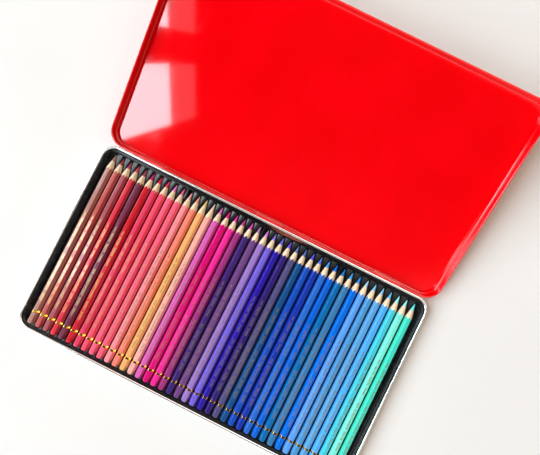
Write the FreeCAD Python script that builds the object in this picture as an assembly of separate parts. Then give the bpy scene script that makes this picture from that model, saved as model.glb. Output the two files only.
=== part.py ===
import FreeCAD, Part
import math
import os

from FreeCAD import Vector

# A flat hinged pencil tin, lying open. Sizes are in millimetres. X runs along the tin, +Y points to
# the hinge, +Z is up, and the origin is the centre of the base's underside.

# Pencils
pencilFlats = 6.2          # across the flats of the hexagon, which lies with a flat up
pencilGap = 0.82           # between the corners of neighbouring pencils
pencilLength = 175.0
pencilsPerBay = 10
bayCount = 4
sharpLength = 13.5         # sharpened length, measured on the flats
pointRadius = 0.25         # blunt end of the point
coreDiameter = 3.3
glueLine = 0.02            # between the core and its casing
endRound = 2.3             # rounding of the dipped end
endCover = 4.0             # wood left behind the core at the dipped end

# Tray
traySheet = 0.7
trayGap = 0.4              # between the tray and the tin's walls
trayRest = 0.1             # between the tray's lands and the tin's floor
grooveRise = 1.5           # from the tray's underside to the bottom of a groove
seatGap = 0.15             # between a pencil and its groove
ridgeRise = 1.7            # from the bottom of a groove to the flat ridge beside it
sideMargin = 5.75          # from the outer pencils to the tin's wall
headMargin = 5.3           # from the points to the tin's rear wall
footMargin = 2.2           # from the dipped ends to the tin's front wall
fieldGap = 2.0             # between the outer pencils and the sides of the tray's field
footGap = 0.8              # between a dipped end and its scallop
scallopGap = 0.3           # between a pencil's corner and its scallop
headSlopeRun = 2.2         # how far the sloping head wall leans back
headSlopeStart = 0.4       # where the slope starts, in front of the points
ledgeAboveAxis = 1.8       # ledge round the field, over the pencils' axis
lipHeight = 1.0
lipWidth = 1.2
bendGap = 0.4              # between the tray's side and the top of the tin's floor bend
finLength = 13.0           # fins between the points
finSideGap = 0.2           # between a fin's narrow end and the pencils beside it
finPointGap = 1.4          # between a fin's root and the middle of the pencils beside it
finDrop = 0.8              # a fin's root lies this far under the ledge
dividerLength = 8.5        # straight bars at the ledge's height, between the bays
dividerWidth = 2.5
notchLength = 48.0         # finger notch in the rear edge
notchDepth = 2.5
notchOffset = 19.5         # from the tin's centre line

# Base tin
sheet = 0.4                # tinplate
headroom = 2.15            # rim over the tops of the pencils
baseRollRadius = 1.1       # rolled rim, outer radius
baseCorner = 11.0          # inner corner radius of the wall
floorBend = 2.0            # outer bend radius between floor and wall
curlGap = 0.15             # between a curl's edge and its own wall

# Lid tin
lidClearance = 0.4         # between the base's rim and the lid's skirt
lidRollRadius = 0.8
lidDepth = 7.6             # from the hinge axis to the lid's outer face
lidBend = 1.6              # outer bend radius between skirt and top
panelMargin = 4.0          # from the skirt to the sunk panel
panelStep = 0.5
openAngle = 166.0

# Hinge
windowLength = 25.4        # slots in the lid's rear skirt, one for each lug
windowHeight = 3.1         # from the hinge axis to the slot's far edge
windowMargin = 0.05        # how far the cutter stands out of the skirt on each side
hingePitch = 121.3
lugSideGap = 0.5           # between a lug and the ends of its slot
lugSheet = 0.4
lugRimGap = 0.1            # between a lug and the base's rolled rim
hingeFit = 0.08            # radial clearance of the lid's roll in a lug
stopGap = 0.1              # between a slot's far edge and the lug's heel when the lid lies open
lugWrap = 215.0            # how far round the roll a lug reaches, in degrees from the heel side
heelDrop = 0.2             # the heel reaches this far past the slot's edge
footRise = 1.3             # how far the lug runs down from its heel to the foot

# Worked out from the sizes above
hexRise = math.tan(math.radians(30))
hexSide = 1 / math.cos(math.radians(30))
pencilCorner = pencilFlats / 2 * hexSide
taper = (pencilFlats / 2 - pointRadius) / sharpLength
pitch = 2 * pencilCorner + pencilGap
pencilCount = pencilsPerBay * bayCount
rowLength = pencilCount * pitch - pencilGap

innerLength = rowLength + 2 * sideMargin
innerWidth = pencilLength + headMargin + footMargin
rimLength = innerLength + 4 * baseRollRadius
rimWidth = innerWidth + 4 * baseRollRadius

grooveDrop = pencilFlats / 2 + seatGap
trayFoot = sheet + trayRest
axisHeight = trayFoot + grooveRise + grooveDrop
rimHeight = axisHeight + pencilFlats / 2 + headroom
tipY = innerWidth / 2 - headMargin
endY = tipY - pencilLength
grooveZ = axisHeight - grooveDrop
ridgeZ = grooveZ + ridgeRise
ledgeZ = axisHeight + ledgeAboveAxis
trayLength = innerLength - 2 * trayGap
trayWidth = innerWidth - 2 * trayGap
trayCorner = baseCorner - trayGap

lidLength = rimLength + 2 * lidClearance + 4 * lidRollRadius
lidWidth = rimWidth + 2 * lidClearance + 4 * lidRollRadius
lidInnerLength = lidLength - 4 * lidRollRadius
lidInnerWidth = lidWidth - 4 * lidRollRadius
lidCorner = baseCorner + 2 * baseRollRadius + lidClearance
lugRadius = lidRollRadius + hingeFit + lugSheet
rollBehindRim = baseRollRadius + lidClearance + lidRollRadius
rollUnderRim = math.sqrt(max(0, (baseRollRadius + lugRimGap + lugRadius) ** 2 - rollBehindRim ** 2))
hingeY = lidWidth / 2 - lidRollRadius
hingeZ = rimHeight - baseRollRadius - rollUnderRim


def outline(length, width, radius, z):
    """A rounded rectangle about the Z axis, as a wire."""
    x = length / 2
    y = width / 2
    k = radius * (1 - math.sqrt(0.5))
    edges = []
    for sx, sy, swaps in ((1, 1, False), (-1, 1, True), (-1, -1, False), (1, -1, True)):
        start = Vector(sx * x, sy * (y - radius), z)
        middle = Vector(sx * (x - k), sy * (y - k), z)
        end = Vector(sx * (x - radius), sy * y, z)
        if swaps:
            start, end = end, start
        edges.append(Part.Arc(start, middle, end).toShape())
    joined = []
    for arc, following in zip(edges, edges[1:] + edges[:1]):
        joined.append(arc)
        joined.append(Part.LineSegment(arc.Vertexes[1].Point, following.Vertexes[0].Point).toShape())
    return Part.Wire(joined)


def slab(length, width, radius, low, high):
    """A flat block with rounded corners."""
    face = Part.Face(outline(length, width, radius, low))
    return face.extrude(Vector(0, 0, high - low))


def edgesAt(shape, z):
    return [e for e in shape.Edges if abs(e.BoundBox.ZMin - z) < 1e-6 and abs(e.BoundBox.ZMax - z) < 1e-6]


def prismX(points, low, high):
    """A polygon in (y, z), drawn out along X."""
    wire = Part.makePolygon([Vector(low, y, z) for y, z in points + points[:1]])
    return Part.Face(wire).extrude(Vector(high - low, 0, 0))


def prismY(points, low, high):
    """A polygon in (x, z), drawn out along Y."""
    wire = Part.makePolygon([Vector(x, low, z) for x, z in points + points[:1]])
    return Part.Face(wire).extrude(Vector(0, high - low, 0))


def curl(length, width, radius, rollRadius, z, rises):
    """A rolled edge round a wall. The wall leaves the roll downwards if rises is 1, upwards if it is -1."""
    inner = rollRadius - sheet
    reach = math.pi - math.acos((rollRadius - sheet - curlGap) / rollRadius)
    path = outline(length + 2 * rollRadius, width + 2 * rollRadius, radius + rollRadius, z)
    middleX = length / 2 + rollRadius

    def point(r, angle):
        return Vector(middleX + r * math.cos(angle), 0, z + rises * r * math.sin(angle))

    half = (math.pi - reach) / 2
    outerArc = Part.Arc(point(rollRadius, math.pi), point(rollRadius, half), point(rollRadius, -reach))
    innerArc = Part.Arc(point(inner, math.pi), point(inner, half), point(inner, -reach))
    section = Part.Wire([
        outerArc.toShape(),
        Part.LineSegment(point(rollRadius, -reach), point(inner, -reach)).toShape(),
        innerArc.toShape(),
        Part.LineSegment(point(inner, math.pi), point(rollRadius, math.pi)).toShape(),
    ])
    return path.makePipeShell([section], True, False)


def makeBaseTin():
    """A drawn pan with a rolled rim."""
    wallTop = rimHeight - baseRollRadius
    pan = slab(innerLength + 2 * sheet, innerWidth + 2 * sheet, baseCorner + sheet, 0, wallTop)
    pan = pan.makeFillet(floorBend, edgesAt(pan, 0))
    hollow = slab(innerLength, innerWidth, baseCorner, sheet, wallTop)
    hollow = hollow.makeFillet(floorBend - sheet, edgesAt(hollow, sheet))
    rim = curl(innerLength, innerWidth, baseCorner, baseRollRadius, wallTop, 1)
    return pan.cut(hollow).fuse(rim).removeSplitter()


def makeLidTin():
    """A shallow pan with a rolled edge and a sunk panel, made closed and then swung open."""
    top = hingeZ + lidDepth
    pan = slab(lidInnerLength + 2 * sheet, lidInnerWidth + 2 * sheet, lidCorner + sheet, hingeZ, top)
    pan = pan.makeFillet(lidBend, edgesAt(pan, top))
    hollow = slab(lidInnerLength, lidInnerWidth, lidCorner, hingeZ, top - sheet)
    hollow = hollow.makeFillet(lidBend - sheet, edgesAt(hollow, top - sheet))
    panelLength = lidInnerLength - 2 * panelMargin
    panelWidth = lidInnerWidth - 2 * panelMargin
    panelCorner = lidCorner - panelMargin
    sunk = slab(panelLength, panelWidth, panelCorner, top - panelStep, top)
    raised = slab(panelLength + 2 * sheet, panelWidth + 2 * sheet, panelCorner + sheet, top - panelStep, top)
    raised.translate(Vector(0, 0, -sheet))
    edge = curl(lidInnerLength, lidInnerWidth, lidCorner, lidRollRadius, hingeZ, -1)
    lid = pan.cut(sunk).cut(hollow.cut(raised)).fuse(edge).removeSplitter()
    lid = lid.cut(Part.makeCompound([lidWindow(x) for x in hingePlaces()]))
    lid.rotate(Vector(0, hingeY, hingeZ), Vector(1, 0, 0), -openAngle)
    return lid


def hingePlaces():
    return [-hingePitch, 0, hingePitch]


def lidWindow(x):
    """The slot in the rear skirt that leaves the roll free for a lug."""
    skirt = lidInnerWidth / 2
    window = Part.makeBox(windowLength, sheet + 2 * windowMargin, windowHeight)
    window.translate(Vector(x - windowLength / 2, skirt - windowMargin, hingeZ))
    return window


def makeHingeLug(x):
    """A strap on the base's rear wall that wraps the lid's roll. Its heel stops the open lid."""
    ring = lugRadius - lugSheet / 2
    opened = math.radians(openAngle)
    skirt = lidInnerWidth / 2 + sheet - hingeY
    edgeY = skirt * math.cos(opened) + windowHeight * math.sin(opened)
    edgeZ = -skirt * math.sin(opened) + windowHeight * math.cos(opened)
    heelY = edgeY - stopGap - lugSheet / 2
    lean = math.atan2(ring - heelY, -edgeZ)
    wallY = innerWidth / 2 + sheet - hingeY + lugSheet / 2
    heel = Vector(0, heelY, edgeZ - heelDrop)
    leave = Vector(0, ring * math.cos(lean), -ring * math.sin(lean))
    footTop = Vector(0, wallY, heel.z - footRise)
    footEnd = Vector(0, wallY, floorBend - hingeZ)
    return strap(leave, [heel, footTop, footEnd], ring, lean, x)


def strap(leave, bends, ring, lean, x):
    """A strip of lug sheet: an arc round the axis, then straight runs through the bends."""
    half = lugSheet / 2
    finish = math.radians(lugWrap)

    def ringPoint(r, angle):
        return Vector(0, r * math.cos(angle), r * math.sin(angle))

    line = [leave] + bends
    left = []
    right = []
    for i, corner in enumerate(line):
        before = (corner - line[i - 1]).normalize() if i else (line[1] - corner).normalize()
        after = (line[i + 1] - corner).normalize() if i + 1 < len(line) else before
        normal = Vector(0, before.z + after.z, -before.y - after.y).normalize()
        side = Vector(0, before.z, -before.y)
        reach = half / normal.dot(side)
        left.append(corner + normal * reach)
        right.append(corner - normal * reach)
    middle = (finish - lean) / 2
    outerStart = ringPoint(ring + half, -lean)
    innerStart = ringPoint(ring - half, -lean)
    nearOuter = left if (left[0] - outerStart).Length < (right[0] - outerStart).Length else right
    nearInner = right if nearOuter is left else left
    nearOuter[0] = outerStart
    nearInner[0] = innerStart
    outerEnd = ringPoint(ring + half, finish)
    innerEnd = ringPoint(ring - half, finish)
    edges = [Part.Arc(outerEnd, ringPoint(ring + half, middle), outerStart).toShape()]
    edges += runs(nearOuter)
    edges.append(Part.LineSegment(nearOuter[-1], nearInner[-1]).toShape())
    edges += runs(nearInner[::-1])
    edges.append(Part.Arc(innerStart, ringPoint(ring - half, middle), innerEnd).toShape())
    edges.append(Part.LineSegment(innerEnd, outerEnd).toShape())
    width = windowLength - 2 * lugSideGap
    lug = Part.Face(Part.Wire(edges)).extrude(Vector(width, 0, 0))
    lug.translate(Vector(x - width / 2, hingeY, hingeZ))
    return lug


def runs(points):
    return [Part.LineSegment(a, b).toShape() for a, b in zip(points, points[1:])]


def pencilX(index):
    return (index - (pencilCount - 1) / 2) * pitch


def grooveProfile(inset):
    """The cross-section of the pencils' field: a row of grooves with flat bottoms, open at the top."""
    bottom = grooveZ - inset
    ridge = ridgeZ - inset
    bottomHalf = (grooveDrop + inset) * hexRise
    reach = bottomHalf + ridgeRise * hexRise
    side = rowLength / 2 + fieldGap + inset
    high = rimHeight + pencilFlats
    points = [(-side, high), (-side, ridge)]
    for i in range(pencilCount):
        x = pencilX(i)
        points += [(x - reach, ridge), (x - bottomHalf, bottom)]
        points += [(x + bottomHalf, bottom), (x + reach, ridge)]
    points += [(side, ridge), (side, high)]
    return points


def pencilField(inset):
    """The room for the pencils: grooves with scalloped ends at the foot and a sloping wall at the head."""
    low = -pencilFlats
    high = rimHeight + pencilFlats
    scallop = pencilCorner + scallopGap
    scallopY = endY - footGap + scallop
    slope = headSlopeRun / (ledgeZ - grooveZ)
    slopeY = tipY - headSlopeStart + inset * math.hypot(1, slope)
    headLow = slopeY + (low - grooveZ) * slope
    headHigh = slopeY + (high - grooveZ) * slope
    side = rowLength / 2 + fieldGap + inset
    corners = [(scallopY, low), (headLow, low), (headHigh, high), (scallopY, high)]
    room = prismX(corners, -side, side)
    ends = []
    for i in range(pencilCount):
        end = Part.makeCylinder(scallop + inset, high - low, Vector(pencilX(i), scallopY, low))
        ends.append(end)
    grooves = prismY(grooveProfile(inset), scallopY - 2 * scallop, headHigh)
    return grooves.common(room.multiFuse(ends))


def trayForm(inset):
    """What lies under the tray's upper skin, drawn in by inset. Two of these make the shell."""
    length = trayLength - 2 * inset
    width = trayWidth - 2 * inset
    corner = trayCorner - inset
    shelf = floorBend + bendGap + inset
    bend = floorBend
    upper = slab(length, width, corner, shelf, ledgeZ - inset)
    lower = slab(length - 2 * bend, width - 2 * bend, corner - bend, trayFoot - inset, shelf)
    return upper.fuse(lower).cut(fingerNotch(inset)).cut(pencilField(inset))


def fingerNotch(inset):
    """A shallow bow out of the tray's rear edge."""
    bow = (notchLength ** 2 / 4 + notchDepth ** 2) / (2 * notchDepth)
    bowY = trayWidth / 2 - notchDepth + bow
    return Part.makeCylinder(bow + inset, rimHeight, Vector(notchOffset, bowY, 0))


def trayLip():
    """The raised edge round the tray's rim."""
    top = ledgeZ + lipHeight
    outer = slab(trayLength, trayWidth, trayCorner, ledgeZ, top)
    inner = slab(trayLength - 2 * lipWidth, trayWidth - 2 * lipWidth, trayCorner - lipWidth, ledgeZ, top)
    return outer.cut(inner).cut(fingerNotch(0)).cut(pencilField(0))


def trayFin(index):
    """A wedge between two points. After each full bay a straight bar takes its place."""
    x = pencilX(index) + pitch / 2
    divides = (index + 1) % pencilsPerBay == 0
    start = tipY - (dividerLength if divides else finLength)
    stop = tipY - headSlopeStart + headSlopeRun
    top = ledgeZ if divides else ledgeZ - finDrop
    front = ledgeZ if divides else ridgeZ
    rootHalf = dividerWidth / 2 if divides else pitch / 2 - finPointGap
    tipHalf = rootHalf if divides else pencilGap / 2 - finSideGap
    side = [(start, grooveZ), (start, front), (stop, top), (stop, grooveZ)]
    fin = prismX(side, x - rootHalf, x + rootHalf)
    plan = Part.makePolygon([
        Vector(x - tipHalf, start, 0),
        Vector(x + tipHalf, start, 0),
        Vector(x + rootHalf, stop, 0),
        Vector(x - rootHalf, stop, 0),
        Vector(x - tipHalf, start, 0),
    ])
    return fin.common(Part.Face(plan).extrude(Vector(0, 0, rimHeight)))


def makeTray():
    """A thin formed tray with a groove for each pencil."""
    shell = trayForm(0).cut(trayForm(traySheet))
    fins = [trayFin(i) for i in range(pencilCount - 1)]
    return shell.multiFuse([trayLip()] + fins).removeSplitter()


def makePencil():
    """A sharpened pencil with its point at the origin, lying along -Y: casing and core."""
    tail = -pencilLength
    coreRadius = coreDiameter / 2
    angles = [math.radians(60 * k) for k in range(6)]
    hexagon = [(pencilCorner * math.cos(angle), pencilCorner * math.sin(angle)) for angle in angles]
    body = prismY(hexagon, tail, 0).common(sharpened(pencilCorner, tail, endRound))
    bore = alongY(coreRadius + glueLine, tail + endCover, 0)
    core = sharpened(coreRadius, tail + endCover, 0)
    return [body.cut(bore), core]


def alongY(radius, low, high):
    return Part.makeCylinder(radius, high - low, Vector(0, low, 0), Vector(0, 1, 0))


def sharpened(radius, tail, rounding):
    """A round rod from tail to a point at the origin, with its tail edge rounded if rounding is not 0."""
    shoulder = -(radius - pointRadius) / taper
    corners = [Vector(0, 0, 0), Vector(pointRadius, 0, 0), Vector(radius, shoulder, 0)]
    edges = runs(corners)
    if rounding:
        k = rounding * (1 - math.sqrt(0.5))
        sideEnd = Vector(radius, tail + rounding, 0)
        tailStart = Vector(radius - rounding, tail, 0)
        edges += runs([corners[-1], sideEnd])
        edges.append(Part.Arc(sideEnd, Vector(radius - k, tail + k, 0), tailStart).toShape())
    else:
        tailStart = Vector(radius, tail, 0)
        edges += runs([corners[-1], tailStart])
    edges += runs([tailStart, Vector(0, tail, 0), corners[0]])
    return Part.Face(Part.Wire(edges)).revolve(Vector(0, 0, 0), Vector(0, 1, 0), 360)


def export(name, shape):
    shape.exportStep("parts/" + name + ".step")
    state = "ok" if shape.isValid() else "INVALID"
    print(name, len(shape.Solids), "solid(s)", round(shape.Volume, 1), "mm3", state)


def main():
    os.makedirs("parts", exist_ok=True)
    export("base_tin", makeBaseTin())
    export("lid_tin", makeLidTin())
    for side, x in zip(("left", "middle", "right"), hingePlaces()):
        export("hinge_lug_" + side, makeHingeLug(x))
    export("pencil_tray", makeTray())
    pieces = makePencil()
    for i in range(pencilCount):
        pencil = Part.makeCompound([piece.copy() for piece in pieces])
        pencil.translate(Vector(pencilX(i), tipY, axisHeight))
        export("pencil_%02d" % (i + 1), pencil)
    print("rim", round(rimLength, 2), "x", round(rimWidth, 2), "x", round(rimHeight, 2))
    print("hinge axis at y", round(hingeY, 3), "z", round(hingeZ, 3))


main()
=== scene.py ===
import math
import random

import bmesh
import bpy
from mathutils import Matrix, Vector


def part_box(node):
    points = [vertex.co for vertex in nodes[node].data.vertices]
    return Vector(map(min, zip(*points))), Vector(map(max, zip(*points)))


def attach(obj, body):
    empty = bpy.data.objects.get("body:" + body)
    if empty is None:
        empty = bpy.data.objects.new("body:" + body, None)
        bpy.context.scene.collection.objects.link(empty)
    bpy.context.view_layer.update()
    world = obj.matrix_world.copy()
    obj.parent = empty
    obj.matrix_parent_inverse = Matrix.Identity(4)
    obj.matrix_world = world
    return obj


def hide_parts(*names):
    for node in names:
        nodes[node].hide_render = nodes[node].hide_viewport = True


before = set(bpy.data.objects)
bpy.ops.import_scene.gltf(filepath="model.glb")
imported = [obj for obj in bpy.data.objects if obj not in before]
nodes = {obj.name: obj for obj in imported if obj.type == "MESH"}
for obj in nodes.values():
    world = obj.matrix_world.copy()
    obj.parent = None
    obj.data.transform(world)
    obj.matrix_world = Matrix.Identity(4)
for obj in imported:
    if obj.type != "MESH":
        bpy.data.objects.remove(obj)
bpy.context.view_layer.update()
mm = 0.001
print("frame loaded")


# Shader helpers. A value given to a socket is either a number, a colour or another node's output.

def toLinear(value):
    return value / 12.92 if value <= 0.04045 else ((value + 0.055) / 1.055) ** 2.4


def linear(red, green, blue):
    return tuple(toLinear(channel / 255) for channel in (red, green, blue)) + (1.0,)


def shaded(colour, factor):
    return tuple(min(1.0, channel * factor) for channel in colour[:3]) + (1.0,)


def feed(tree, socket, value):
    if isinstance(value, bpy.types.NodeSocket):
        tree.links.new(value, socket)
    else:
        socket.default_value = value


def add(tree, kind, inputs=None, **settings):
    node = tree.nodes.new("ShaderNode" + kind)
    for name, value in settings.items():
        setattr(node, name, value)
    for name, value in (inputs or {}).items():
        feed(tree, node.inputs[name], value)
    return node


def calc(tree, operation, *values):
    node = add(tree, "Math", operation=operation)
    for socket, value in zip(node.inputs, values):
        feed(tree, socket, value)
    return node.outputs[0]


def product(tree, first, *others):
    for other in others:
        first = calc(tree, "MULTIPLY", first, other)
    return first


def mixColours(tree, factor, first, second):
    node = add(tree, "Mix", data_type="RGBA", blend_type="MIX")
    for socket, value in zip((node.inputs[0], node.inputs[6], node.inputs[7]), (factor, first, second)):
        feed(tree, socket, value)
    return node.outputs[2]


def remap(tree, value, fromLow, fromHigh, toLow=0.0, toHigh=1.0):
    values = {"Value": value, "From Min": fromLow, "From Max": fromHigh, "To Min": toLow, "To Max": toHigh}
    return add(tree, "MapRange", values, interpolation_type="SMOOTHSTEP").outputs["Result"]


def spread(tree, value, toLow=0.0, toHigh=1.0):
    # For noise, which lies mostly between 0.3 and 0.7.
    return remap(tree, value, 0.3, 0.7, toLow, toHigh)


def stretched(tree, position, x, y, z):
    return add(tree, "VectorMath", {0: position, 1: (x, y, z)}, operation="MULTIPLY").outputs[0]


def moved(tree, position, distance):
    step = (distance, distance, distance)
    return add(tree, "VectorMath", {0: position, 1: step}, operation="ADD").outputs[0]


def inMillimetres(tree, position):
    # The three coordinates, apart.
    scaled = stretched(tree, position, 1 / mm, 1 / mm, 1 / mm)
    return add(tree, "SeparateXYZ", {"Vector": scaled}).outputs


def noise(tree, position, scale, detail=2.0, roughness=0.5):
    values = {"Vector": position, "Scale": scale, "Detail": detail, "Roughness": roughness}
    return add(tree, "TexNoise", values).outputs["Fac"]


def bump(tree, height, distance):
    return add(tree, "Bump", {"Height": height, "Distance": distance}).outputs["Normal"]


def makeGroup(name, inputs, outputs):
    tree = bpy.data.node_groups.new(name, "ShaderNodeTree")
    for label, kind in inputs.items():
        tree.interface.new_socket(label, in_out="INPUT", socket_type="NodeSocket" + kind)
    for label, kind in outputs.items():
        tree.interface.new_socket(label, in_out="OUTPUT", socket_type="NodeSocket" + kind)
    return tree, tree.nodes.new("NodeGroupInput"), tree.nodes.new("NodeGroupOutput")


def useGroup(tree, group, inputs):
    node = tree.nodes.new("ShaderNodeGroup")
    node.node_tree = group
    for name, value in inputs.items():
        feed(tree, node.inputs[name], value)
    return node


def startMaterial(name, constants):
    material = bpy.data.materials.new(name)
    material.use_nodes = True
    tree = material.node_tree
    shader = tree.nodes["Principled BSDF"]
    for label, value in constants.items():
        shader.inputs[label].default_value = value
    position = add(tree, "TexCoord").outputs["Object"]
    return material, tree, shader, position


def feedShader(tree, shader, values):
    for label, value in values.items():
        feed(tree, shader.inputs[label], value)


# Shared effects

def makeSmudgeGroup():
    # Faint wiping marks and dust specks on a glossy surface. Size is the width of a mark, in metres.
    form = {"cloudRange": (0.45, 0.75), "wipeScale": 6.0, "wipeStretch": (1.0, 0.15, 1.0),
            "wipeRange": (0.35, 0.7), "dustScale": 30.0, "dustRange": (0.74, 0.8)}
    tree, given, result = makeGroup("smudges", {"Position": "Vector", "Size": "Float"},
                                    {"Marks": "Float", "Specks": "Float"})
    position = given.outputs["Position"]
    scale = calc(tree, "DIVIDE", 1.0, given.outputs["Size"])
    cloud = noise(tree, position, scale, 3.0, 0.6)
    wiped = stretched(tree, position, *form["wipeStretch"])
    drawn = noise(tree, wiped, calc(tree, "MULTIPLY", scale, form["wipeScale"]))
    dust = noise(tree, position, calc(tree, "MULTIPLY", scale, form["dustScale"]))
    marks = product(tree, remap(tree, cloud, *form["cloudRange"]), remap(tree, drawn, *form["wipeRange"]))
    tree.links.new(marks, result.inputs["Marks"])
    tree.links.new(remap(tree, dust, *form["dustRange"]), result.inputs["Specks"])
    return tree


def makeFibreGroup():
    # Wood fibres along Y, with pores, and the fine rings that a sharpener leaves across them.
    form = {"fibres": 2600.0, "fibreStretch": (1.0, 0.06, 1.0), "fibreShare": 0.6,
            "broad": 600.0, "broadStretch": (1.0, 0.12, 1.0),
            "pores": 5200.0, "poreStretch": (1.0, 0.1, 1.0), "poreRange": (0.66, 0.76),
            "rings": 3800.0, "ringStretch": (0.05, 1.0, 0.05), "ringShare": 0.3}
    tree, given, result = makeGroup("woodFibres", {"Position": "Vector"},
                                    {"Tone": "Float", "Pores": "Float", "Height": "Float"})
    position = given.outputs["Position"]
    fibres = noise(tree, stretched(tree, position, *form["fibreStretch"]), form["fibres"], 3.0, 0.6)
    broad = noise(tree, stretched(tree, position, *form["broadStretch"]), form["broad"])
    pores = noise(tree, stretched(tree, position, *form["poreStretch"]), form["pores"])
    rings = noise(tree, stretched(tree, position, *form["ringStretch"]), form["rings"])
    tone = calc(tree, "ADD", calc(tree, "MULTIPLY", fibres, form["fibreShare"]),
                calc(tree, "MULTIPLY", broad, 1 - form["fibreShare"]))
    height = calc(tree, "ADD", calc(tree, "MULTIPLY", tone, 1 - form["ringShare"]),
                  calc(tree, "MULTIPLY", rings, form["ringShare"]))
    tree.links.new(tone, result.inputs["Tone"])
    tree.links.new(remap(tree, pores, *form["poreRange"]), result.inputs["Pores"])
    tree.links.new(height, result.inputs["Height"])
    return tree


def makeFoilGroup():
    # A line of plain stamped foil marks along the upper flat: runs of slanted strokes, with a few bars.
    # Lengths are in millimetres, from the point.
    form = {"start": 60.0, "end": 151.5, "gapStart": 96.0, "gapEnd": 103.0, "halfHeight": 1.0,
            "strokePitch": 1.25, "strokeWidth": 0.48, "slant": 0.35, "runPitch": 11.0, "runLength": 9.2,
            "barPitch": 30.0, "barLength": 4.0, "barHalf": 0.34, "lift": 2.6, "rubbing": 1800.0,
            "rubbedRange": (0.25, 0.4)}
    tree, given, result = makeGroup("foilMarks", {"Position": "Vector"}, {"Mask": "Float"})
    across, along, up = inMillimetres(tree, given.outputs["Position"])
    depth = calc(tree, "MULTIPLY", along, -1.0)
    aside = calc(tree, "ABSOLUTE", across)

    def inside(value, low, high):
        return product(tree, calc(tree, "GREATER_THAN", value, low), calc(tree, "LESS_THAN", value, high))

    def without(mask):
        return calc(tree, "SUBTRACT", 1.0, mask)

    def repeated(value, pitch, length):
        return inside(calc(tree, "FLOORED_MODULO", value, pitch), 0.0, length)

    leaning = calc(tree, "ADD", depth, calc(tree, "MULTIPLY", across, form["slant"]))
    inBar = repeated(depth, form["barPitch"], form["barLength"])
    bars = product(tree, inBar, calc(tree, "LESS_THAN", aside, form["barHalf"]))
    strokes = product(tree, repeated(leaning, form["strokePitch"], form["strokeWidth"]),
                      calc(tree, "LESS_THAN", aside, form["halfHeight"]),
                      repeated(depth, form["runPitch"], form["runLength"]), without(inBar))
    stamped = product(tree, inside(depth, form["start"], form["end"]),
                      without(inside(depth, form["gapStart"], form["gapEnd"])),
                      calc(tree, "GREATER_THAN", up, form["lift"]))
    rubbing = noise(tree, given.outputs["Position"], form["rubbing"], 3.0)
    kept = remap(tree, rubbing, *form["rubbedRange"])
    mask = product(tree, calc(tree, "MAXIMUM", strokes, bars), stamped, kept)
    tree.links.new(mask, result.inputs["Mask"])
    return tree


smudges = makeSmudgeGroup()
woodFibres = makeFibreGroup()
foilMarks = makeFoilGroup()


# Materials. Colours are written as they are seen, places are in millimetres, and the width of marks and the
# depth of a bump are in metres.

def makeTinplate():
    # Bright outside and on the rolled rim. The inside of the pan is coloured a warm reddish tan and is
    # mostly not
    #     # metallic. The inside is all that lies low and within reach of a box that is smaller by the
    #     corner radius.
    form = {"straightX": 153.92, "straightY": 80.25, "reach": 11.05, "warmTop": 6.0,
            "warmTone": (240, 136, 108), "warmCover": 0.9, "warmRoughness": 0.15,
            "dull": (238, 237, 233), "bright": (250, 249, 246), "brushing": 9000.0,
            "brushStretch": (0.04, 1.0, 1.0), "brushDepth": 0.000002, "smooth": 0.17, "rough": 0.24,
            "marked": (188, 180, 168), "markWidth": 0.012, "markShare": 0.4, "markRoughness": 0.08}
    material, tree, shader, position = startMaterial("tinplateBrushed", {"Anisotropic": 0.2})
    marks = useGroup(tree, smudges, {"Position": position, "Size": form["markWidth"]}).outputs["Marks"]
    lines = noise(tree, stretched(tree, position, *form["brushStretch"]), form["brushing"])
    x, y, z = inMillimetres(tree, position)

    def beyond(value, limit):
        outside = calc(tree, "SUBTRACT", calc(tree, "ABSOLUTE", value), limit)
        return calc(tree, "POWER", calc(tree, "MAXIMUM", outside, 0.0), 2.0)

    reach = calc(tree, "ADD", beyond(x, form["straightX"]), beyond(y, form["straightY"]))
    warmInside = product(tree, calc(tree, "LESS_THAN", calc(tree, "SQRT", reach), form["reach"]),
                        calc(tree, "LESS_THAN", z, form["warmTop"]))
    tone = mixColours(tree, spread(tree, lines), linear(*form["dull"]), linear(*form["bright"]))
    tone = mixColours(tree, calc(tree, "MULTIPLY", marks, form["markShare"]), tone, linear(*form["marked"]))
    # Where the inside lies, the colour is a warm reddish tan, mostly not metallic.
    tone = mixColours(tree, warmInside, tone, linear(*form["warmTone"]))
    rough = calc(tree, "ADD", spread(tree, lines, form["smooth"], form["rough"]),
                 calc(tree, "MULTIPLY", marks, form["markRoughness"]))
    rough = calc(tree, "ADD", rough, calc(tree, "MULTIPLY", warmInside, form["warmRoughness"]))
    cover = calc(tree, "MULTIPLY", warmInside, form["warmCover"])
    feedShader(tree, shader, {
        "Base Color": tone,
        "Metallic": calc(tree, "SUBTRACT", 1.0, cover),
        "Roughness": rough,
        "Normal": bump(tree, lines, form["brushDepth"])})
    return material


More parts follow.
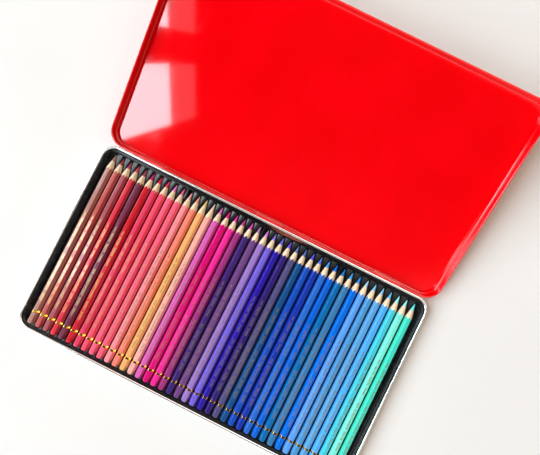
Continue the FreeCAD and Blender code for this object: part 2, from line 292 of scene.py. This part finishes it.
def makeRedLacquer():
    # Over tinplate, which is bare where the hinge slots were cut. A slot is found in the shut lid's
    # directions.
    form = {"hingeY": 94.65, "hingeZ": 8.472, "openAngle": 166.0, "slotPitch": 121.3, "slotHalf": 12.7,
            "slotTop": 3.1, "rollTop": 1.0, "skirtNear": 1.2, "bareWidth": 0.95,
            "bareMetal": (226, 222, 216), "bareMetallic": 0.7, "bareRoughness": 0.3,
            "deep": (243, 0, 8), "light": (250, 0, 12), "cloud": 22.0, "flow": 900.0, "flowDepth": 0.000004,
            "dust": (255, 120, 120), "dustShare": 0.5, "markWidth": 0.03, "smooth": 0.06,
            "markRoughness": 0.06}
    material, tree, shader, position = startMaterial("redLacquer", {
        "Coat Weight": 1.0, "Coat Roughness": 0.035, "Specular IOR Level": 0.45})
    wear = useGroup(tree, smudges, {"Position": position, "Size": form["markWidth"]})
    x, y, z = inMillimetres(tree, position)
    fromY = calc(tree, "SUBTRACT", y, form["hingeY"])
    fromZ = calc(tree, "SUBTRACT", z, form["hingeZ"])
    turn = math.radians(form["openAngle"])
    shutY = calc(tree, "SUBTRACT", calc(tree, "MULTIPLY", fromY, math.cos(turn)),
                 calc(tree, "MULTIPLY", fromZ, math.sin(turn)))
    shutZ = calc(tree, "ADD", calc(tree, "MULTIPLY", fromY, math.sin(turn)),
                 calc(tree, "MULTIPLY", fromZ, math.cos(turn)))
    aside = calc(tree, "ABSOLUTE", x)
    fromOuter = calc(tree, "ABSOLUTE", calc(tree, "SUBTRACT", aside, form["slotPitch"]))
    fromSlot = calc(tree, "MINIMUM", aside, fromOuter)
    bare = product(tree, calc(tree, "LESS_THAN", fromSlot, form["slotHalf"] + form["bareWidth"]),
                   calc(tree, "LESS_THAN", shutZ, form["slotTop"] + form["bareWidth"]),
                   calc(tree, "GREATER_THAN", shutZ, form["rollTop"]),
                   calc(tree, "LESS_THAN", calc(tree, "ABSOLUTE", shutY), form["skirtNear"]))
    cloud = spread(tree, noise(tree, position, form["cloud"]))
    tone = mixColours(tree, cloud, linear(*form["deep"]), linear(*form["light"]))
    dust = calc(tree, "MULTIPLY", wear.outputs["Specks"], form["dustShare"])
    tone = mixColours(tree, dust, tone, linear(*form["dust"]))
    tone = mixColours(tree, bare, tone, linear(*form["bareMetal"]))
    marks = calc(tree, "MULTIPLY", wear.outputs["Marks"], form["markRoughness"])
    rough = calc(tree, "ADD", form["smooth"], marks)
    feedShader(tree, shader, {
        "Base Color": tone,
        "Metallic": calc(tree, "MULTIPLY", bare, form["bareMetallic"]),
        "Roughness": calc(tree, "ADD", rough, calc(tree, "MULTIPLY", bare, form["bareRoughness"])),
        "Normal": bump(tree, noise(tree, position, form["flow"]), form["flowDepth"])})
    return material


def makeBlackPlastic():
    form = {"dark": (10, 11, 12), "wiped": (22, 24, 27), "dust": (96, 95, 90), "dustShare": 0.5,
            "markWidth": 0.008, "grain": 4200.0, "grainDepth": 0.000012, "smooth": 0.2, "rough": 0.28,
            "markRoughness": 0.15}
    material, tree, shader, position = startMaterial("blackPlastic", {"Specular IOR Level": 0.5})
    wear = useGroup(tree, smudges, {"Position": position, "Size": form["markWidth"]})
    grain = noise(tree, position, form["grain"], 3.0, 0.6)
    tone = mixColours(tree, wear.outputs["Marks"], linear(*form["dark"]), linear(*form["wiped"]))
    dust = calc(tree, "MULTIPLY", wear.outputs["Specks"], form["dustShare"])
    marks = calc(tree, "MULTIPLY", wear.outputs["Marks"], form["markRoughness"])
    feedShader(tree, shader, {
        "Base Color": mixColours(tree, dust, tone, linear(*form["dust"])),
        "Roughness": calc(tree, "ADD", spread(tree, grain, form["smooth"], form["rough"]), marks),
        "Normal": bump(tree, grain, form["grainDepth"])})
    return material


def makePencilLacquer(name, colour, shift):
    form = {"deeper": 0.94, "flow": 1400.0, "flowStretch": (1.0, 0.3, 1.0), "flowDepth": 0.00001,
            "dust": (225, 215, 200), "dustShare": 0.5, "foil": (228, 192, 124), "foilMetallic": 0.72,
            "markWidth": 0.006, "smooth": 0.24, "rough": 0.3}
    material, tree, shader, position = startMaterial(name, {
        "Coat Weight": 0.7, "Coat Roughness": 0.06, "Specular IOR Level": 0.25})
    place = moved(tree, position, shift)
    wear = useGroup(tree, smudges, {"Position": place, "Size": form["markWidth"]})
    foil = useGroup(tree, foilMarks, {"Position": position}).outputs["Mask"]
    flow = noise(tree, stretched(tree, place, *form["flowStretch"]), form["flow"])
    tone = mixColours(tree, spread(tree, flow), shaded(colour, form["deeper"]), colour)
    dust = calc(tree, "MULTIPLY", wear.outputs["Specks"], form["dustShare"])
    tone = mixColours(tree, dust, tone, linear(*form["dust"]))
    feedShader(tree, shader, {
        "Base Color": mixColours(tree, foil, tone, linear(*form["foil"])),
        "Metallic": calc(tree, "MULTIPLY", foil, form["foilMetallic"]),
        "Roughness": remap(tree, wear.outputs["Marks"], 0.0, 1.0, form["smooth"], form["rough"]),
        "Normal": bump(tree, flow, form["flowDepth"])})
    return material


def makePencilLead(name, colour, shift):
    form = {"deeper": 0.72, "grain": 3600.0, "rings": 3000.0, "ringStretch": (0.06, 1.0, 0.06),
            "smooth": 0.42, "rough": 0.6, "depth": 0.00003}
    material, tree, shader, position = startMaterial(name, {"Specular IOR Level": 0.35})
    place = moved(tree, position, shift)
    grain = noise(tree, place, form["grain"], 3.0, 0.65)
    rings = noise(tree, stretched(tree, place, *form["ringStretch"]), form["rings"])
    feedShader(tree, shader, {
        "Base Color": mixColours(tree, spread(tree, grain), shaded(colour, form["deeper"]), colour),
        "Roughness": spread(tree, rings, form["smooth"], form["rough"]),
        "Normal": bump(tree, calc(tree, "ADD", grain, rings), form["depth"])})
    return material


def makePencilWood():
    form = {"dark": (243, 208, 170), "light": (255, 240, 216), "toneRange": (0.35, 0.65),
            "pore": (176, 126, 82), "poreShare": 0.4, "rough": 0.7, "smooth": 0.55, "depth": 0.00005}
    material, tree, shader, position = startMaterial("sharpenedWood", {"Specular IOR Level": 0.25})
    tone, pores, height = useGroup(tree, woodFibres, {"Position": position}).outputs
    between = remap(tree, tone, *form["toneRange"])
    colour = mixColours(tree, between, linear(*form["dark"]), linear(*form["light"]))
    pores = calc(tree, "MULTIPLY", pores, form["poreShare"])
    feedShader(tree, shader, {
        "Base Color": mixColours(tree, pores, colour, linear(*form["pore"])),
        "Roughness": spread(tree, tone, form["rough"], form["smooth"]),
        "Normal": bump(tree, height, form["depth"])})
    return material


def makePencilFoil():
    form = {"gold": (250, 205, 96), "rubbed": (205, 140, 52), "markWidth": 0.002, "grain": 5000.0,
            "grainDepth": 0.00001, "smooth": 0.08, "rough": 0.18}
    material, tree, shader, position = startMaterial("goldFoil", {"Metallic": 1.0})
    marks = useGroup(tree, smudges, {"Position": position, "Size": form["markWidth"]}).outputs["Marks"]
    grain = noise(tree, position, form["grain"])
    feedShader(tree, shader, {
        "Base Color": mixColours(tree, marks, linear(*form["gold"]), linear(*form["rubbed"])),
        "Roughness": spread(tree, grain, form["smooth"], form["rough"]),
        "Normal": bump(tree, grain, form["grainDepth"])})
    return material


def dress(name, material):
    nodes[name].material_slots[0].material = material


dress("base_tin", makeTinplate())
redLacquer = makeRedLacquer()
for name in ("lid_tin", "hinge_lug_left", "hinge_lug_middle", "hinge_lug_right"):
    dress(name, redLacquer)
print("tin dressed")


# Tray

def roundEdges(built, edges, radius, segments):
    bmesh.ops.bevel(built, geom=edges, offset=radius, segments=segments, profile=0.5, affect="EDGES",
                    clamp_overlap=False)


def makeTray():
    # The formed sheet again, with its sharp edges rounded as a mould leaves them. They are roundest on the
    # lip, which lies above lipFrom and outside fieldSide.
    form = {"edgeRadius": 0.09, "lipRadius": 0.34, "lipFrom": 7.5, "fieldSide": 160.5, "edgeSegments": 2,
            "lipSegments": 3, "sharpFrom": 40.0, "flatUnder": 0.5, "weld": 0.002}
    source = nodes["pencil_tray"]
    built = bmesh.new()
    built.from_mesh(source.data)
    bmesh.ops.remove_doubles(built, verts=built.verts, dist=form["weld"] * mm)
    bmesh.ops.dissolve_limit(built, angle_limit=math.radians(form["flatUnder"]), verts=built.verts,
                             edges=built.edges)

    def isSharp(edge):
        return edge.calc_face_angle(0.0) > math.radians(form["sharpFrom"])

    def isOnLip(edge):
        ends = [source.matrix_world @ vert.co / mm for vert in edge.verts]
        isHigh = min(end.z for end in ends) > form["lipFrom"]
        return isHigh or min(abs(end.x) for end in ends) > form["fieldSide"]

    lip = [edge for edge in built.edges if isSharp(edge) and isOnLip(edge)]
    roundEdges(built, lip, form["lipRadius"] * mm, form["lipSegments"])
    inner = [edge for edge in built.edges if isSharp(edge) and not isOnLip(edge)]
    roundEdges(built, inner, form["edgeRadius"] * mm, form["edgeSegments"])
    for face in built.faces:
        face.smooth = True
    mesh = bpy.data.meshes.new("pencil_tray_formed")
    built.to_mesh(mesh)
    built.free()
    mesh.materials.append(makeBlackPlastic())
    tray = bpy.data.objects.new("pencil_tray_formed", mesh)
    bpy.context.scene.collection.objects.link(tray)
    tray.matrix_world = source.matrix_world.copy()
    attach(tray, "tray")
    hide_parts("pencil_tray")


makeTray()
print("tray made")


# Pencils. Each is made along -Y with its point at the origin, in millimetres. A row is a ring of points
# round the pencil, one for each column, and the material of a band belongs to the row before it.

pencilForm = {
    "sharpLength": 13.5,     # on the flats
    "pointRadius": 0.25,
    "pointFace": 0.7,        # radius of the worn end, as a share of the point's
    "pointWear": 0.12,       # depth of the worn end
    "leadLength": 6.6,       # of the lead that shows
    "leadSlantFrom": 0.1,    # how far the lead's border leans, from and to
    "leadSlantTo": 0.5,
    "leadPaintedLight": 1.5,         # painted light: a lead's colour is made this much lighter, for the light on the points
    "leadRows": (0.35, 0.7),
    "woodRows": (0.33, 0.67),
    "edgeRadius": 0.42,      # rounding of the six long edges
    "endRound": 2.3,
    "ringFromEnd": 12.5,
    "ringWidth": 1.8,
    "lacquerStart": 1.5,     # first ring of points behind the wood
    "columnsPerFlat": 8,
    "columnsPerEdge": 4,
    "rowsInEnd": 8,
    "shiftPerPencil": 0.37,  # moves the pattern of the wear
    "drawSeed": 7,
}

bodyColours = [
    (183, 128, 116), (200, 85, 80), (175, 80, 90), (230, 40, 65), (120, 40, 75), (210, 5, 35),
    (235, 60, 100), (250, 80, 110), (255, 100, 135), (255, 100, 130), (255, 150, 160), (255, 140, 120),
    (250, 185, 115), (255, 185, 170), (225, 100, 190), (225, 0, 125), (250, 40, 160), (165, 50, 130),
    (65, 35, 120), (115, 70, 135), (160, 125, 205), (120, 100, 220), (45, 25, 170), (50, 30, 120),
    (85, 80, 130), (20, 80, 140), (20, 80, 190), (20, 55, 175), (40, 110, 210), (5, 100, 215),
    (5, 110, 180), (60, 125, 180), (0, 115, 230), (95, 165, 250), (80, 155, 215), (95, 170, 230),
    (85, 180, 255), (75, 210, 230), (130, 245, 225), (70, 225, 200),
]

# Leads that look lighter or duller than the lacquer of their pencil, by its number.
leadColours = {
    1: (150, 110, 95), 2: (150, 50, 45), 3: (160, 50, 80), 4: (200, 60, 80), 5: (150, 60, 75),
    6: (190, 10, 80), 7: (230, 20, 70), 8: (240, 50, 90), 9: (240, 110, 190), 10: (245, 90, 140),
    19: (190, 70, 170), 20: (170, 120, 170), 21: (220, 120, 230), 22: (135, 110, 235),
    23: (100, 90, 220), 24: (105, 75, 215), 25: (85, 100, 160), 26: (70, 100, 160), 27: (75, 75, 220),
    28: (80, 110, 200), 29: (60, 140, 245), 32: (60, 150, 230), 33: (40, 130, 225), 34: (150, 190, 245),
    35: (110, 180, 250), 36: (120, 180, 240), 37: (90, 175, 245), 38: (130, 235, 235),
    39: (140, 250, 235), 40: (90, 225, 215),
}


def hexagonColumns(flats):
    # Points round a hexagon with rounded corners and a flat on top, with a corner towards +X.
    radius = pencilForm["edgeRadius"]
    cornerAt = (flats / 2 - radius) / math.cos(math.radians(30))

    def towards(angle):
        return Vector((math.cos(angle), math.sin(angle)))

    points = []
    for corner in range(6):
        middle = math.radians(60 * corner)
        centre = towards(middle) * cornerAt
        for step in range(pencilForm["columnsPerEdge"] + 1):
            angle = middle + math.radians(60 * step / pencilForm["columnsPerEdge"] - 30)
            points.append(centre + towards(angle) * radius)
        nextCentre = towards(middle + math.radians(60)) * cornerAt
        offset = towards(middle + math.radians(30)) * radius
        for step in range(1, pencilForm["columnsPerFlat"]):
            points.append(centre.lerp(nextCentre, step / pencilForm["columnsPerFlat"]) + offset)
    return points


def pencilRows(flats, corners, length, slant, slantAngle):
    form = pencilForm
    columns = hexagonColumns(flats)
    reach = [point.length for point in columns]
    taper = (flats / 2 - form["pointRadius"]) / form["sharpLength"]
    border = [form["leadLength"] + slant * math.cos(math.atan2(p.y, p.x) - slantAngle) for p in columns]
    shoulder = [(r - form["pointRadius"]) / taper for r in reach]
    lead, wood, lacquer, foil = range(4)

    def cone(depths, material, sharp=False):
        return ([(form["pointRadius"] + taper * d, d) for d in depths], material, sharp)

    def straight(depth, material, sharp=False):
        return ([(r, depth) for r in reach], material, sharp)

    rows = [([(form["pointRadius"] * form["pointFace"], 0.0)] * len(columns), lead, False)]
    rows.append(cone([form["pointWear"]] * len(columns), lead))
    rows += [cone([b * share for b in border], lead) for share in form["leadRows"]]
    rows.append(cone(border, wood, True))
    for share in form["woodRows"]:
        rows.append(cone([b + (s - b) * share for b, s in zip(border, shoulder)], wood))
    rows.append(cone(shoulder, lacquer, True))
    ringStart = length - form["ringFromEnd"] - form["ringWidth"] / 2
    rows += [straight(max(shoulder) + form["lacquerStart"], lacquer), straight(length / 2, lacquer)]
    rows += [straight(ringStart, foil, True), straight(ringStart + form["ringWidth"], lacquer, True)]
    for step in range(form["rowsInEnd"] + 1):
        turn = math.radians(90 * step / form["rowsInEnd"])
        rod = corners / 2 - form["endRound"] * (1 - math.cos(turn))
        depth = length - form["endRound"] * (1 - math.sin(turn))
        rows.append(([(min(r, rod), depth) for r in reach], lacquer, False))
    return columns, rows


def makePencilMesh(name, flats, corners, length, draw):
    slant = draw.uniform(pencilForm["leadSlantFrom"], pencilForm["leadSlantTo"])
    columns, rows = pencilRows(flats, corners, length, slant, draw.uniform(0, 2 * math.pi))
    directions = [point.normalized() for point in columns]
    mesh = bpy.data.meshes.new(name)
    built = bmesh.new()
    rings = []
    for points, material, sharp in rows:
        ring = []
        for direction, (radius, depth) in zip(directions, points):
            ring.append(built.verts.new(Vector((direction.x * radius, -depth, direction.y * radius)) * mm))
        rings.append(ring)
    point = built.verts.new((0, 0, 0))
    tail = built.verts.new((0, -length * mm, 0))
    count = len(columns)
    for i in range(count):
        j = (i + 1) % count
        built.faces.new((point, rings[0][j], rings[0][i])).material_index = rows[0][1]
        built.faces.new((tail, rings[-1][i], rings[-1][j])).material_index = rows[-1][1]
        for row in range(len(rows) - 1):
            near, far = rings[row], rings[row + 1]
            built.faces.new((near[i], near[j], far[j], far[i])).material_index = rows[row][1]
    for face in built.faces:
        face.smooth = True
    for ring, (points, material, sharp) in zip(rings, rows):
        if sharp:
            for i in range(count):
                built.edges.get((ring[i], ring[(i + 1) % count])).smooth = False
    bmesh.ops.recalc_face_normals(built, faces=built.faces)
    built.to_mesh(mesh)
    built.free()
    return mesh


def makePencils():
    draw = random.Random(pencilForm["drawSeed"])
    wood = makePencilWood()
    foil = makePencilFoil()
    for i, rgb in enumerate(bodyColours):
        number = "%02d" % (i + 1)
        name = "pencil_" + number
        shift = i * pencilForm["shiftPerPencil"]
        low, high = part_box(name)
        size = (high - low) / mm
        mesh = makePencilMesh(name + "_form", size.z, size.x, size.y, draw)
        # Each lead's colour is made lighter. This is painted light, standing in for the light that falls on
        # the points.
        lead = shaded(linear(*leadColours.get(i + 1, rgb)), pencilForm["leadPaintedLight"])
        mesh.materials.append(makePencilLead("lead" + number, lead, shift))
        mesh.materials.append(wood)
        mesh.materials.append(makePencilLacquer("lacquer" + number, linear(*rgb), shift))
        mesh.materials.append(foil)
        pencil = bpy.data.objects.new(name + "_hexagonal", mesh)
        bpy.context.scene.collection.objects.link(pencil)
        pencil.location = ((low.x + high.x) / 2, high.y, (low.z + high.z) / 2)
        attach(pencil, name)
        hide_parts(name)


makePencils()
print("pencils made")


# Stage, in metres

def makeFloor():
    form = {"size": 6.5, "height": -0.0003, "dull": (240, 239, 238), "light": (246, 245, 243), "cloud": 9.0}
    mesh = bpy.data.meshes.new("floor")
    half = form["size"] / 2
    corners = [(x * half, y * half, form["height"]) for x, y in ((-1, -1), (1, -1), (1, 1), (-1, 1))]
    mesh.from_pydata(corners, [], [(0, 1, 2, 3)])
    floor = bpy.data.objects.new("floor", mesh)
    bpy.context.scene.collection.objects.link(floor)
    material, tree, shader, position = startMaterial("floorPaint", {
        "Roughness": 0.75, "Specular IOR Level": 0.2})
    cloud = noise(tree, position, form["cloud"])
    feedShader(tree, shader, {
        "Base Color": mixColours(tree, cloud, linear(*form["dull"]), linear(*form["light"]))})
    mesh.materials.append(material)


def aimLight(name, place, target, size, power, colour):
    light = bpy.data.lights.new(name, "AREA")
    light.shape = "RECTANGLE"
    light.size, light.size_y = size
    light.energy = power
    light.color = colour
    lamp = bpy.data.objects.new(name, light)
    bpy.context.scene.collection.objects.link(lamp)
    lamp.location = place
    lamp.rotation_euler = (Vector(target) - Vector(place)).to_track_quat("-Z", "Y").to_euler()


windowForm = {
    "towards": -161.0,       # degrees from +X
    "distance": 3.0,
    "foot": 1.15,
    "brightTop": 5.95,
    "dimTop": 7.05,          # over the bright part of a pane is a dim one
    "paneWidth": 1.0,
    "mullion": 0.54,
    "firstEdge": -1.56,      # of the row of panes, from the middle
    "panes": 2,
    "lowStart": 1.5,         # a lower pane, further along
    "lowEnd": 3.1,
    "lowFoot": 1.1,
    "lowTop": 4.1,
    "brightRadiance": 9.5,
    "dimRadiance": 0.7,
    "colour": (0.8, 0.925, 1.0),
}


def makeWindow():
    form = windowForm
    angle = math.radians(form["towards"])
    outward = Vector((math.cos(angle), math.sin(angle), 0))
    along = Vector((-outward.y, outward.x, 0))

    def pane(name, start, end, low, high, radiance):
        place = outward * form["distance"] + along * (start + end) / 2 + Vector((0, 0, (low + high) / 2))
        size = (end - start, high - low)
        power = radiance * math.pi * size[0] * size[1]
        aimLight(name, place, place - outward, size, power, form["colour"])

    for i in range(form["panes"]):
        start = form["firstEdge"] + i * (form["paneWidth"] + form["mullion"])
        end = start + form["paneWidth"]
        pane("pane%d_lower" % i, start, end, form["foot"], form["brightTop"], form["brightRadiance"])
        pane("pane%d_upper" % i, start, end, form["brightTop"], form["dimTop"], form["dimRadiance"])
    pane("lowPane", form["lowStart"], form["lowEnd"], form["lowFoot"], form["lowTop"],
         form["brightRadiance"])


def makeRearLight():
    form = {"place": (0.9, 2.1, 1.7), "target": (0.0, 0.0, 0.0), "size": (1.6, 1.2), "power": 10.0,
            "colour": (1.0, 0.92, 0.8)}
    aimLight("rearLight", form["place"], form["target"], form["size"], form["power"], form["colour"])


def makeWorld():
    # The room fills the shadows with a little warm light. Where it is mirrored it is dark overhead and on
    # the window's side, lighter near the horizon elsewhere, and lightest to the rear. Its limits, such as
    # darkAbove, are parts of a direction of length 1.
    form = {"fill": 0.31, "fillColour": (1.0, 0.64, 0.4, 1.0), "mirroredColour": (1.0, 0.97, 0.92, 1.0),
            "backgroundColour": (0.92, 0.92, 0.91, 1.0), "overhead": 0.015, "horizon": 0.42,
            "darkAbove": 0.88, "lightBelow": 0.7, "darkSide": -0.5, "lightSide": 0.0, "darkShare": 0.15,
            "endsFrom": 0.15, "endsTo": 0.4, "endsShare": 2.5, "rearShare": 1.9}
    world = bpy.data.worlds.new("studio")
    bpy.context.scene.world = world
    world.use_nodes = True
    tree = world.node_tree
    path = add(tree, "LightPath")
    mirrored = calc(tree, "MAXIMUM", path.outputs["Is Glossy Ray"], path.outputs["Is Transmission Ray"])
    seen = path.outputs["Is Camera Ray"]
    x, y, z = add(tree, "SeparateXYZ", {"Vector": add(tree, "TexCoord").outputs["Generated"]}).outputs
    height = remap(tree, z, form["lightBelow"], form["darkAbove"], form["horizon"], form["overhead"])
    side = remap(tree, x, form["darkSide"], form["lightSide"], form["darkShare"], 1.0)
    ends = remap(tree, calc(tree, "ABSOLUTE", y), form["endsFrom"], form["endsTo"], 1.0, form["endsShare"])
    rear = remap(tree, y, form["endsFrom"], form["endsTo"], 1.0, form["rearShare"])
    room = product(tree, height, side, ends, rear)
    strength = add(tree, "Mix", {0: mirrored, 2: form["fill"], 3: room}).outputs[0]
    colour = mixColours(tree, mirrored, form["fillColour"], form["mirroredColour"])
    feedShader(tree, tree.nodes["Background"], {
        "Color": mixColours(tree, seen, colour, form["backgroundColour"]),
        "Strength": add(tree, "Mix", {0: seen, 2: strength, 3: 1.0}).outputs[0]})


def makeCamera():
    # Where the camera stands, in millimetres, and the directions of the picture's right and down.
    form = {"place": (9.34, 79.74, 347.86), "right": (0.89462, 0.44683, -0.00226),
            "down": (0.44653, -0.89419, -0.03220), "lens": 24.48, "sensor": 36.0, "near": 0.01, "far": 20.0}
    camera = bpy.data.objects.new("camera", bpy.data.cameras.new("camera"))
    bpy.context.scene.collection.objects.link(camera)
    right = Vector(form["right"]).normalized()
    up = -Vector(form["down"])
    up = (up - right * up.dot(right)).normalized()
    facing = Matrix((right, up, right.cross(up))).transposed().to_4x4()
    camera.matrix_world = Matrix.Translation(Vector(form["place"]) * mm) @ facing
    camera.data.sensor_width = form["sensor"]
    camera.data.lens = form["lens"]
    camera.data.clip_start = form["near"]
    camera.data.clip_end = form["far"]
    bpy.context.scene.camera = camera


makeFloor()
makeWindow()
makeRearLight()
makeWorld()
makeCamera()
bpy.context.scene.view_settings.view_transform = "Standard"
print("stage made")
